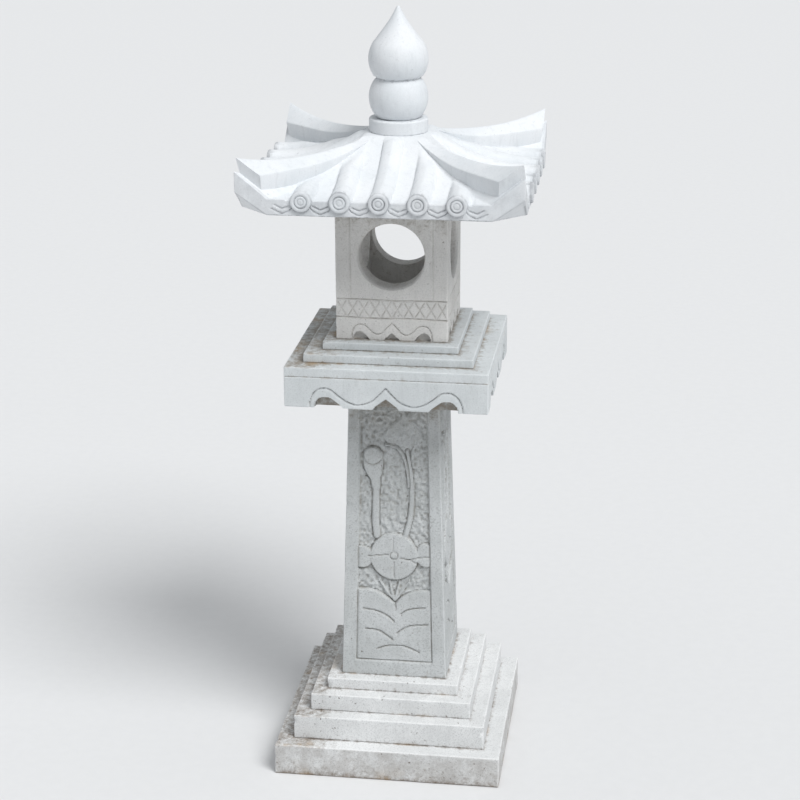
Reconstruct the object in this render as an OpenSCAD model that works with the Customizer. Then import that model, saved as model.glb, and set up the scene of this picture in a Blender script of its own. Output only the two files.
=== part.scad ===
// Carved stone garden lantern, stacked dry from separate stones.
// From the ground up: a stepped base of four slabs, a tapered post with a sunk panel on each face,
// a platform with a scalloped apron, a hollow light box with four round windows, a tiled hip roof
// and a turned jewel finial. Stub tenons and steel dowels keep the stones in line.
// The origin is the centre of the underside, with +X right, +Y back and +Z up. Millimetres.

/* [Base] */
// Width of the bottom slab
slab_w = 450; // [400:1:520]
// Thickness of the bottom slab
slab_t = 64; // [50:1:90]
// Width of the lower step
lower_step_w = 382; // [330:1:400]
// Thickness of the lower step
lower_step_t = 50; // [35:1:70]
// Width of the middle step
middle_step_w = 322; // [270:1:330]
// Thickness of the middle step
middle_step_t = 35; // [25:1:50]
// Width of the upper step
upper_step_w = 264; // [225:1:270]
// Thickness of the upper step
upper_step_t = 23; // [18:1:30]

/* [Post] */
// Height of the post between its bearing faces
post_h = 600; // [480:5:720]
// Width of the post at its foot
post_foot_w = 211; // [190:1:222]
// Width of the post at its head
post_head_w = 176; // [160:1:190]
// Width of the plain border beside the sunk panel
panel_border = 24; // [16:1:32]
// Height of the plain border below the sunk panel
panel_sill = 35; // [20:1:60]
// Depth of the sunk panel
panel_depth = 9; // [4:0.5:12]

/* [Platform] */
// Width of the platform slab
platform_w = 388; // [350:1:430]
// Height of the scalloped apron stone
apron_t = 60; // [50:1:80]
// Thickness of the cap slab that lies on the apron stone
cap_t = 19; // [14:1:30]
// Depth that the scallops are cut into the apron's faces
scallop_depth = 18; // [8:1:24]
// Width of the platform's lower step
platform_lower_w = 324; // [290:1:345]
// Thickness of the platform's lower step
platform_lower_t = 16.5; // [12:0.5:24]
// Width of the platform's upper step
platform_upper_w = 260; // [235:1:285]
// Thickness of the platform's upper step
platform_upper_t = 15; // [12:0.5:24]

/* [Light box] */
// Width of the light box
box_w = 214; // [190:1:230]
// Height of the light box
box_h = 278; // [260:1:320]
// Thickness of the light box walls
wall_t = 40; // [30:1:44]
// Thickness of the light box floor
floor_t = 60; // [50:1:75]
// Radius of the round windows
window_r = 62.5; // [50:0.5:65]
// Height of the window centres above the underside of the light box
window_z = 165; // [150:1:175]

/* [Roof] */
// Width of the roof across its straight eaves
roof_w = 524; // [490:2:560]
// Height of the straight eave band
eave_t = 30; // [24:1:36]
// Height of the roof pan where the finial stands
pan_rise = 106; // [95:1:130]
// Rise of the underside at each corner
corner_lift = 41; // [25:1:50]
// Height of the eave band at each corner
corner_t = 38; // [30:1:44]
// Spacing of the tile ribs along the eaves
rib_pitch = 70.5; // [60:0.5:74]
// Radius of the round tile ends
tile_end_r = 19.4; // [14:0.2:22]
// Height of the locating spigot under the roof
spigot_h = 12; // [8:1:18]

/* [Finial] */
// Radius of the finial collar
collar_r = 56; // [46:1:57]
// Height of the finial collar
collar_h = 25.5; // [18:0.5:36]
// Radius of the ball above the collar
ball_r = 56; // [48:1:60]
// Height from the collar's top to the widest part of the ball
ball_rise = 38.5; // [34:0.5:44]
// Radius of the bud above the ball
bud_r = 56.5; // [50:0.5:58]
// Height from the widest part of the ball to the widest part of the bud
bud_rise = 72; // [66:1:80]
// Height of the point above the widest part of the bud
tip_rise = 98; // [85:1:120]

/* [Fixings] */
// Radius of the post's stub tenons
tenon_r = 40; // [30:1:45]
// Length of the post's stub tenons
tenon_l = 34; // [26:1:40]
// Radius of the steel dowels
dowel_r = 8; // [6:0.5:10]
// Clearance all round a tenon, spigot or dowel in its socket
slack = 0.5; // [0.3:0.1:1]

/* [Hidden] */
$fn = 96;
// Overshoot that keeps cuts clear of the faces they pass through
over = 1;

// Levels of the bearing faces
lower_step_z = slab_t;
middle_step_z = lower_step_z + lower_step_t;
upper_step_z = middle_step_z + middle_step_t;
post_z = upper_step_z + upper_step_t;
apron_z = post_z + post_h;
cap_z = apron_z + apron_t;
platform_lower_z = cap_z + cap_t;
platform_upper_z = platform_lower_z + platform_lower_t;
box_z = platform_upper_z + platform_upper_t;
roof_z = box_z + box_h;
collar_z = roof_z + pan_rise;
jewel_z = collar_z + collar_h;

// Least stone between a dowel and a post or tenon
dowel_cover = 8;
// Base dowels stand under the post, beside its tenon
base_dowel_offset = 32;
base_dowel_seat = 30;
base_dowel_x = tenon_r + base_dowel_offset;
base_dowel_z = slab_t - base_dowel_seat;
base_dowel_l = post_z - dowel_cover - base_dowel_z;
// The platform dowel runs from the apron stone up into the light box floor
platform_dowel_z = apron_z + tenon_l + dowel_cover;
platform_dowel_l = box_z + floor_t / 2 - platform_dowel_z;
// The finial dowel runs from the roof up into the jewel, and seats as far in both
finial_dowel_seat = 42;
finial_dowel_z = collar_z - finial_dowel_seat;
finial_dowel_l = collar_h + 2 * finial_dowel_seat;
// A dowel's socket is this much longer than the dowel at each blind end
socket_end = 1;

cavity_w = box_w - 2 * wall_t;
spigot_gap = 2;
spigot_w = cavity_w - 2 * spigot_gap;

// Scalloped edges: the cusp's half width and height, and each arch's start, end and height
apron_cusp = [24, 20.5];
apron_arch = [82, 136, 21];
foot_cusp = [15, 15];
foot_arch = [43, 74, 17];
foot_depth = 8;
arch_turn = 12;

// Grooves in the light box's faces: two level ones, and an upright one near each corner
groove_zs = [44, 81];
groove_w = 2.4;
groove_depth = 2;
corner_line_inset = 28;

// Roof outline
eave_half = roof_w / 2;
plateau_half = collar_r + 2;
// The eave starts to sweep up this far from the corner
sweep_l = 59;
// The swept part of the eave starts this far below the straight part's upper edge
wedge_dip = 0.8;
// Diagonal distances are measured along x = y, so they are sqrt(2) longer than x
sweep_start_u = (2 * eave_half - sweep_l) / sqrt(2);
corner_u = 2 * eave_half / sqrt(2);
// The sloping faces at the corners are drawn this far out, and this much longer to match
slope_u = corner_u + over;
slope_scale = 1 + over / (corner_u - sweep_start_u);
// The hip ridges widen from the finial to the corners, and their crests dip and rise again
ridge_head_half = 15;
ridge_end_half = 31;
ridge_head_x = 48;
ridge_peak_x = 42;
ridge_overrun = 30;
ridge_low_x = 165;
ridge_low = 87;
ridge_end = 105;
ridge_edge_low = 71.5;
ridge_edge_rise = 12;
ridge_edge_run = 70;
last_rib = 2;
rib_w = 24;
rib_t = 9;
rib_set_back = 3;
// A rib beside a ridge stops this far from the hip line, measured along the rib
rib_hip_gap = 23;
tile_end_z = 27;
tile_end_proud = 6;
tile_end_root = 20;
pan_steps = 10;

// The bud turns into a straight point at this angle above its middle
shoulder_a = 45;
jewel_steps = 14;

// Height of the roof pan at a distance t from the roof's axis, a parabola rising to the plateau
function pan_z(t) = eave_t + (pan_rise - eave_t) * pow((eave_half - t) / (eave_half - plateau_half), 2);

// Height of the hip ridge's crest over the point x = y = t
function ridge_crest_z(t) = t < ridge_low_x
    ? ridge_low + (pan_rise - ridge_low) * pow((ridge_low_x - t) / (ridge_low_x - ridge_peak_x), 2)
    : ridge_low + (ridge_end - ridge_low) * pow((t - ridge_low_x) / (eave_half - ridge_low_x), 2);

// Height of the edges of the hip ridge's two slopes, level with a rise towards the finial
function ridge_edge_z(t) = min(ridge_crest_z(t) - 2,
    ridge_edge_low + ridge_edge_rise * pow(max(0, ridge_low_x - t) / ridge_edge_run, 2));

function ridge_half(t) = ridge_head_half
    + (ridge_end_half - ridge_head_half) * (t - ridge_head_x) / (eave_half - ridge_head_x);

// Points of an arc, from angle a to angle b, at (r, z) centre c
function arc(c, r, a, b, n) = [for (i = [0:n]) c + r * [cos(a + (b - a) * i / n), sin(a + (b - a) * i / n)]];

module slab(w, t, z) {
    translate([-w / 2, -w / 2, z]) cube([w, w, t]);
}

module on_four_sides() {
    for (a = [0:90:270]) rotate(a) children();
}

module dowel(x, z, l, r = dowel_r) {
    translate([x, 0, z]) cylinder(r = r, h = l);
}

module base_dowel_pair(end = 0, r = dowel_r) {
    for (x = [-1, 1] * base_dowel_x) dowel(x, base_dowel_z - end, base_dowel_l + 2 * end, r);
}

module base_dowel_sockets() {
    base_dowel_pair(socket_end, dowel_r + slack);
}

module platform_dowel_socket() {
    dowel(0, platform_dowel_z - socket_end, platform_dowel_l + 2 * socket_end, dowel_r + slack);
}

module finial_dowel_socket() {
    dowel(0, finial_dowel_z - socket_end, finial_dowel_l + 2 * socket_end, dowel_r + slack);
}

// A tenon of the post, or its socket when grown
module tenon_bottom(grow = 0) {
    translate([0, 0, post_z - tenon_l - grow]) cylinder(r = tenon_r + grow, h = tenon_l + grow + over);
}

module tenon_top(grow = 0) {
    translate([0, 0, apron_z - over]) cylinder(r = tenon_r + grow, h = tenon_l + grow + over);
}

module base_slab() {
    color("#b9b8b4") difference() {
        slab(slab_w, slab_t, 0);
        base_dowel_sockets();
    }
}

module base_step_lower() {
    color("#c3c1bc") difference() {
        slab(lower_step_w, lower_step_t, lower_step_z);
        base_dowel_sockets();
    }
}

module base_step_middle() {
    color("#c6c4bf") difference() {
        slab(middle_step_w, middle_step_t, middle_step_z);
        base_dowel_sockets();
        tenon_bottom(slack);
    }
}

module base_step_upper() {
    color("#c9c7c2") difference() {
        slab(upper_step_w, upper_step_t, upper_step_z);
        base_dowel_sockets();
        tenon_bottom(slack);
    }
}

module base_dowels() {
    color("#8d9093") base_dowel_pair();
}

// A post's tapered body, with every face moved in by inset
module post_body(inset) {
    module side_view() {
        foot = post_foot_w / 2 - inset;
        head = post_head_w / 2 - inset;
        rotate([90, 0, 0])
            linear_extrude(post_foot_w, center = true)
                polygon([[-foot, post_z], [foot, post_z], [head, apron_z], [-head, apron_z]]);
    }
    intersection() {
        side_view();
        rotate(90) side_view();
    }
}

module post_panel() {
    foot = post_foot_w / 2 - panel_border;
    head = post_head_w / 2 - panel_border;
    top = apron_z - panel_border;
    rotate([90, 0, 0])
        linear_extrude(post_foot_w)
            polygon([[-foot, post_z + panel_sill], [foot, post_z + panel_sill], [head, top], [-head, top]]);
}

module post() {
    color("#bcbebd") union() {
        difference() {
            post_body(0);
            difference() {
                on_four_sides() post_panel();
                post_body(panel_depth);
            }
        }
        tenon_bottom();
        tenon_top();
    }
}

// Scalloped cut in a face: a central cusp, and an arch on each side beyond a low lobe
module scallops(cusp, arch) {
    arch_mid = (arch[0] + arch[1]) / 2;
    arch_half = (arch[1] - arch[0]) / 2;
    polygon([[-cusp[0], -over], [-cusp[0], 0], [0, cusp[1]], [cusp[0], 0], [cusp[0], -over]]);
    for (s = [-1, 1]) translate([s * arch_mid, 0]) polygon(concat(
        [[arch_half, -over]],
        [for (a = [0:arch_turn:180]) [arch_half * cos(a), arch[2] * sin(a)]],
        [[-arch_half, -over]]
    ));
}

module scallops_on_faces(w, z, depth) {
    on_four_sides()
        translate([0, depth - w / 2, z])
            rotate([90, 0, 0])
                linear_extrude(depth + over) children();
}

module platform_apron() {
    color("#b4b2ad") difference() {
        slab(platform_w, apron_t, apron_z);
        scallops_on_faces(platform_w, apron_z, scallop_depth) scallops(apron_cusp, apron_arch);
        tenon_top(slack);
        platform_dowel_socket();
    }
}

module platform_cap() {
    color("#bbb9b3") difference() {
        slab(platform_w, cap_t, cap_z);
        platform_dowel_socket();
    }
}

module platform_step_lower() {
    color("#c4c3be") difference() {
        slab(platform_lower_w, platform_lower_t, platform_lower_z);
        platform_dowel_socket();
    }
}

module platform_step_upper() {
    color("#c9c8c4") difference() {
        slab(platform_upper_w, platform_upper_t, platform_upper_z);
        platform_dowel_socket();
    }
}

module platform_dowel() {
    color("#8d9093") dowel(0, platform_dowel_z, platform_dowel_l);
}

module window_hole() {
    translate([0, 0, box_z + window_z])
        rotate([90, 0, 0])
            cylinder(r = window_r, h = box_w + 2 * over, center = true);
}

module light_box_grooves() {
    face = box_w / 2;
    on_four_sides() {
        for (z = groove_zs)
            translate([-face - over, -face - over, box_z + z])
                cube([box_w + 2 * over, groove_depth + over, groove_w]);
        for (s = [-1, 1])
            translate([s * (face - corner_line_inset) - groove_w / 2, -face - over, box_z + groove_zs[1]])
                cube([groove_w, groove_depth + over, box_h]);
    }
}

module light_box() {
    color("#c8c6c0") difference() {
        slab(box_w, box_h, box_z);
        slab(cavity_w, box_h, box_z + floor_t);
        window_hole();
        rotate(90) window_hole();
        light_box_grooves();
        scallops_on_faces(box_w, box_z, foot_depth) scallops(foot_cusp, foot_arch);
        platform_dowel_socket();
    }
}

// Everything under a height that depends only on the distance from the roof's axis
module pan_block(lift) {
    module side_view() {
        ts = [for (i = [0:pan_steps]) eave_half - (eave_half - plateau_half) * i / pan_steps];
        right = [for (t = ts) [t, pan_z(t) + lift]];
        left = [for (i = [pan_steps:-1:0]) [-ts[i], pan_z(ts[i]) + lift]];
        rotate([90, 0, 0])
            linear_extrude(roof_w, center = true)
                polygon(concat([[-eave_half, 0], [eave_half, 0]], right, left));
    }
    intersection() {
        side_view();
        rotate(90) side_view();
    }
}

// An outline of (distance from the axis, height) extruded across the front left to back right hip
module across_diagonal(width) {
    rotate([90, 0, 0]) linear_extrude(width, center = true) children();
}

// The four corner wedges that lift the eaves, in one profile across each diagonal
module corner_wedges() {
    intersection() {
        slab(roof_w, 2 * pan_rise, 0);
        for (a = [45:90:315]) rotate(a) across_diagonal(roof_w) polygon([
            [sweep_start_u - eave_t, eave_t / 2],
            [sweep_start_u, 0],
            [slope_u, corner_lift * slope_scale],
            [slope_u, eave_t + (corner_lift + corner_t - eave_t) * slope_scale],
            [sweep_start_u, eave_t - wedge_dip]
        ]);
    }
}

module corner_undercuts() {
    for (a = [45:90:315]) rotate(a) across_diagonal(roof_w) polygon([
        [sweep_start_u, 0],
        [slope_u, corner_lift * slope_scale],
        [slope_u, -over],
        [sweep_start_u, -over]
    ]);
}

// One hip ridge along +X before it is turned: a gabled bar swept along five-point sections
module hip_ridge() {
    reach = eave_half + ridge_overrun - ridge_head_x;
    ts = [for (i = [0:pan_steps]) ridge_head_x + reach * i / pan_steps];
    points = [for (t = ts) each [
        [t * sqrt(2), -ridge_half(t), eave_t / 2],
        [t * sqrt(2), -ridge_half(t), ridge_edge_z(t)],
        [t * sqrt(2), 0, ridge_crest_z(t)],
        [t * sqrt(2), ridge_half(t), ridge_edge_z(t)],
        [t * sqrt(2), ridge_half(t), eave_t / 2]
    ]];
    n = len(points) / len(ts);
    sides = [for (i = [0:pan_steps - 1], k = [0:n - 1]) let (a = n * i + k, b = n * i + (k + 1) % n)
        each [[a, b, b + n], [a, b + n, a + n]]];
    head = [for (k = [n - 1:-1:0]) k];
    end = [for (k = [0:n - 1]) n * pan_steps + k];
    polyhedron(points, concat([head], sides, [end]));
}

module hip_ridges() {
    intersection() {
        slab(roof_w, 2 * pan_rise, 0);
        for (a = [45:90:315]) rotate(a) hip_ridge();
    }
}

// The tile ribs run straight in from the eaves, and stop at the plateau or at the hip ridges
module tile_ribs() {
    intersection() {
        pan_block(rib_t);
        on_four_sides() linear_extrude(2 * pan_rise)
            for (i = [-last_rib:last_rib]) let (
                inner = max(plateau_half + rib_set_back, abs(i) * rib_pitch + rib_w / 2 + rib_hip_gap)
            ) translate([i * rib_pitch - rib_w / 2, rib_set_back - eave_half])
                square([rib_w, eave_half - rib_set_back - inner]);
    }
}

module tile_ends() {
    on_four_sides() for (i = [-last_rib:last_rib])
        translate([i * rib_pitch, -eave_half - tile_end_proud, tile_end_z])
            rotate([-90, 0, 0]) cylinder(r = tile_end_r, h = tile_end_proud + tile_end_root);
}

module roof() {
    color("#d8d9d8") difference() {
        translate([0, 0, roof_z]) union() {
            difference() {
                union() {
                    pan_block(0);
                    corner_wedges();
                    hip_ridges();
                }
                corner_undercuts();
            }
            tile_ribs();
            tile_ends();
            slab(spigot_w, spigot_h + over, -spigot_h);
        }
        finial_dowel_socket();
    }
}

module finial_collar() {
    color("#dcdddc") difference() {
        translate([0, 0, collar_z]) cylinder(r = collar_r, h = collar_h);
        finial_dowel_socket();
    }
}

module finial_jewel() {
    ball_c = [0, ball_rise];
    bud_c = [0, ball_rise + bud_rise];
    ball_foot_a = -asin(ball_rise / ball_r);
    // Where the ball and the bud meet, both arcs stop at the height halfway between them
    neck_a = asin(bud_rise / 2 / ball_r);
    neck_b = -asin(bud_rise / 2 / bud_r);
    shoulder = bud_c + bud_r * [cos(shoulder_a), sin(shoulder_a)];
    tip = [0, bud_c[1] + tip_rise];
    color("#dedfde") difference() {
        translate([0, 0, jewel_z]) rotate_extrude() polygon(concat(
            [[0, 0]],
            arc(ball_c, ball_r, ball_foot_a, neck_a, jewel_steps),
            arc(bud_c, bud_r, neck_b, shoulder_a, jewel_steps),
            [(shoulder + tip) / 2, tip]
        ));
        finial_dowel_socket();
    }
}

module finial_dowel() {
    color("#8d9093") dowel(0, finial_dowel_z, finial_dowel_l);
}

base_slab();
base_step_lower();
base_step_middle();
base_step_upper();
base_dowels();
post();
platform_apron();
platform_cap();
platform_step_lower();
platform_step_upper();
platform_dowel();
light_box();
roof();
finial_collar();
finial_jewel();
finial_dowel();
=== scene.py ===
"""Looks of a carved stone garden lantern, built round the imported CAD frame.

Every stone is a fine mesh that stands for its CAD node: worn arrises, chips, carved faces and
turned or swept shapes. Lengths in the shape code are millimetres from the frame's origin.
mesh_object() turns them into metres, and mesh_points() turns them back.
"""
import math

import bpy
import numpy as np
from mathutils import Matrix, Quaternion, Vector
from mathutils.kdtree import KDTree


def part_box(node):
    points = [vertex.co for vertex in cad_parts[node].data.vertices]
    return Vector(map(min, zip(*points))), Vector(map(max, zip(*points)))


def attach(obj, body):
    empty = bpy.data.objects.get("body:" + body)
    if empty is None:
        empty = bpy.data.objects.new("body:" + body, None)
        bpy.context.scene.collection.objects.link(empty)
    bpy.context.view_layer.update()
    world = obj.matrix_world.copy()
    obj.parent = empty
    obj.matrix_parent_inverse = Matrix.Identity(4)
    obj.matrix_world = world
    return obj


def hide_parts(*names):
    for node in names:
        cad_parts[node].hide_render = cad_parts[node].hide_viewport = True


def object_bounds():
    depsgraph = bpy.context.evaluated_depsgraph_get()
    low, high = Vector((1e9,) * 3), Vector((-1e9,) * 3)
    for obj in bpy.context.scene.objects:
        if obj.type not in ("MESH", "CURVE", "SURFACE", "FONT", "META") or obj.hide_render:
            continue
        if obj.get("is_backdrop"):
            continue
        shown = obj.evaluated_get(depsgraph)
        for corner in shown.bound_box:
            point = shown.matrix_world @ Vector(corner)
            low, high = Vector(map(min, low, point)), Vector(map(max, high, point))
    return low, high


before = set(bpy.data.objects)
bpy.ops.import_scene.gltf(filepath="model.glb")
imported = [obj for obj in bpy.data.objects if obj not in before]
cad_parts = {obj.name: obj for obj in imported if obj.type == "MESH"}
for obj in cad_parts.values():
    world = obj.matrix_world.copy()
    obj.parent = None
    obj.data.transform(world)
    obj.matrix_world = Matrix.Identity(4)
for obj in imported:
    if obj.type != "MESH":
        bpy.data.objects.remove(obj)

CAD_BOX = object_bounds()
MM = 0.001
SIDES = 4


def levels(node):
    """Lowest and highest height of a CAD node, and half its width, in millimetres."""
    low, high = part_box(node)
    return low.z / MM, high.z / MM, (high.x - low.x) / 2 / MM


# Driving sizes, read from the frame
SLAB_Z0, SLAB_Z1, SLAB_HALF = levels("base_slab")
LOWER_Z0, LOWER_Z1, LOWER_HALF = levels("base_step_lower")
MIDDLE_Z0, MIDDLE_Z1, MIDDLE_HALF = levels("base_step_middle")
UPPER_Z0, UPPER_Z1, UPPER_HALF = levels("base_step_upper")
POST_TENON_Z0, POST_TENON_Z1, POST_FOOT_HALF = levels("post")
APRON_Z0, APRON_Z1, APRON_HALF = levels("platform_apron")
CAP_Z0, CAP_Z1, CAP_HALF = levels("platform_cap")
PLOW_Z0, PLOW_Z1, PLOW_HALF = levels("platform_step_lower")
PUP_Z0, PUP_Z1, PUP_HALF = levels("platform_step_upper")
BOX_Z0, BOX_Z1, BOX_HALF = levels("light_box")
ROOF_LOW_Z, _, ROOF_TILE_HALF = levels("roof")
COLLAR_Z0, COLLAR_Z1, COLLAR_R = levels("finial_collar")
JEWEL_Z0, JEWEL_Z1, _ = levels("finial_jewel")
PDOWEL_Z0, PDOWEL_Z1, DOWEL_R = levels("platform_dowel")
FDOWEL_Z0, FDOWEL_Z1, _ = levels("finial_dowel")
ROOF_Z = BOX_Z1
POST_HEAD_HALF = 88
TENON_R = 40
SLACK = 0.6
TILE_PROUD = 6
EAVE_HALF = ROOF_TILE_HALF - TILE_PROUD
SPIGOT_HALF = 65
DOWEL_HOLE_R = DOWEL_R + SLACK
PAST = 5  # how far a cutter runs beyond the face that it opens

ARRIS_WIDTH = 3.5  # how far from a worn arris its paler stone reaches

# Places of the grid lines beside an arris, and of the rings on a block's flat ends
EDGE_PLACES = (0.5, 1.1, 1.8, 2.8, 4.2, 6.5)
RIM_PLACES = (*EDGE_PLACES, 11, 18, 26, 36, 50, 80)

# Whole numbers that scatter the lattice of noise()
LATTICE_PRIMES = (73856093, 19349663, 83492791)
SEED_PRIME = 40503
MIX_PRIME = 1274126177


# ---- numbers
def noise(points, cell, seed):
    """Smooth lattice noise from 0 to 1 at each point, with cells this many millimetres wide."""
    q = points / cell + 1000.0
    base = np.floor(q).astype(np.int64)
    f = q - base
    f = f * f * (3 - 2 * f)
    total = np.zeros(len(points))
    for corner in range(8):
        bits = np.array([corner & 1, corner >> 1 & 1, corner >> 2 & 1])
        lattice = base + bits
        h = np.bitwise_xor.reduce(lattice * np.array(LATTICE_PRIMES), axis=1) ^ seed * SEED_PRIME
        h = (h ^ h >> 13) * MIX_PRIME & 0x7FFFFFFF
        value = ((h ^ h >> 15) & 0xFFFF) / 65535.0
        total += value * np.prod(np.where(bits, f, 1 - f), axis=1)
    return total


def ramp(x, low, high):
    """Smooth step from 0 at low to 1 at high."""
    t = np.clip((x - low) / (high - low), 0, 1)
    return t * t * (3 - 2 * t)


def spread(length, step):
    """Places from 0 to length, a step apart and closer at both ends."""
    near = [d for d in EDGE_PLACES if d < length / 2.5]
    inner = [near[-1], length - near[-1]] if near else [0, length]
    count = max(1, round((inner[1] - inner[0]) / step))
    middle = np.linspace(inner[0], inner[1], count + 1)
    return np.unique(np.round(np.concatenate([[0], near, middle, length - np.array(near), [length]]), 4))


def smooth_line(points, steps=8):
    """A curve through a few points, as short straight steps."""
    p = np.array(points, float)
    p = np.vstack([2 * p[0] - p[1], p, 2 * p[-1] - p[-2]])
    out = []
    for a, b, c, d in zip(p[:-3], p[1:-2], p[2:-1], p[3:]):
        for t in np.linspace(0, 1, steps, endpoint=False):
            out.append(0.5 * (2 * b + (c - a) * t + (2 * a - 5 * b + 4 * c - d) * t**2
                              + (3 * b - a - 3 * c + d) * t**3))
    return np.array(out + [p[-2]])


def line_distance(x, z, line, widths=None):
    """Distance from each point to a line, less the half width that the line has there."""
    best = np.full(len(x), 1e9)
    widths = np.zeros(len(line)) if widths is None else np.interp(
        np.linspace(0, 1, len(line)), np.linspace(0, 1, len(widths)), widths)
    for (ax, az), (bx, bz), wa, wb in zip(line[:-1], line[1:], widths[:-1], widths[1:]):
        dx, dz = bx - ax, bz - az
        t = np.clip(((x - ax) * dx + (z - az) * dz) / max(dx * dx + dz * dz, 1e-9), 0, 1)
        best = np.minimum(best, np.hypot(x - ax - t * dx, z - az - t * dz) - (wa + t * (wb - wa)))
    return best


def inside_distance(x, z, outline):
    """How far each point is inside a closed outline, below zero outside it."""
    closed = np.vstack([outline, outline[:1]])
    inside = np.zeros(len(x), bool)
    for (ax, az), (bx, bz) in zip(closed[:-1], closed[1:]):
        crosses = (az > z) != (bz > z)
        inside ^= crosses & (x < (bx - ax) * (z - az) / (bz - az + 1e-12) + ax)
    d = line_distance(x, z, closed)
    return np.where(inside, d, -d)


def groove(distance, width, depth):
    """Depth of a rounded cut, at a distance from its middle line."""
    return depth * np.clip(1 - (distance / (width / 2)) ** 2, 0, 1)


def roll(distance, edge):
    """Height from 0 to 1 of a rounded edge, at a distance inside it."""
    t = 1 - np.clip(distance / edge, 0, 1)
    return np.sqrt(np.clip(1 - t * t, 0, 1)) * (distance > 0)


# ---- meshes
def mesh_object(name, points, faces):
    """A mesh object from points in millimetres and lists of quads and triangles."""
    mesh = bpy.data.meshes.new(name)
    mesh.from_pydata((np.asarray(points, float) * MM).tolist(), [], faces)
    mesh.validate()
    obj = bpy.data.objects.new(name, mesh)
    bpy.context.scene.collection.objects.link(obj)
    return obj


def mesh_points(obj):
    """The places of a mesh's vertices, in millimetres."""
    points = np.empty(len(obj.data.vertices) * 3)
    obj.data.vertices.foreach_get("co", points)
    return points.reshape(-1, 3) / MM


def joined(obj, others, operation):
    """obj with the other closed objects cut from it or welded on."""
    for other in others:
        modifier = obj.modifiers.new("cut", "BOOLEAN")
        modifier.operation = operation
        modifier.solver = "MANIFOLD"
        modifier.object = other
        shape = bpy.data.meshes.new_from_object(obj.evaluated_get(bpy.context.evaluated_depsgraph_get()))
        obj.modifiers.clear()
        obj.data = shape
        bpy.data.objects.remove(other)
    return obj


def ring_faces(rings, count, first_centre, last_centre):
    """Faces of a closed stack of rings, with a fan at each end."""
    i = np.arange(count)
    j = (i + 1) % count
    faces = []
    for r in range(rings - 1):
        a, b = r * count, (r + 1) * count
        faces += np.stack([a + i, a + j, b + j, b + i], 1).tolist()
    faces += np.stack([np.full(count, first_centre), j, i], 1).tolist()
    last = (rings - 1) * count
    faces += np.stack([np.full(count, last_centre), last + i, last + j], 1).tolist()
    return faces


def lathe(name, profile, centre=(0, 0), axis="z", segments=96):
    """A turned solid: profile holds (radius, height) from the bottom's centre to the top's."""
    profile = np.array(profile, float)
    turn = np.linspace(0, 2 * math.pi, segments, endpoint=False)
    rings = [np.stack([r * np.cos(turn), r * np.sin(turn), np.full(segments, z)], 1) for r, z in profile]
    points = np.vstack(rings + [[[0, 0, profile[0][1]], [0, 0, profile[-1][1]]]])
    if axis == "y":
        points = points[:, [0, 2, 1]] * [1, -1, 1]
    points = points + [centre[0], 0, centre[1]] if axis == "y" else points + [centre[0], centre[1], 0]
    count = len(profile) * segments
    return mesh_object(name, points, ring_faces(len(profile), segments, count, count + 1))


def cylinder(name, radius, z0, z1):
    """An upright bar on the axis, with a small chamfer at both ends."""
    edge = 1.0
    return lathe(name, [(1, z0), (radius - edge, z0), (radius, z0 + edge), (radius, z1 - edge),
                        (radius - edge, z1), (1, z1)])


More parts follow.
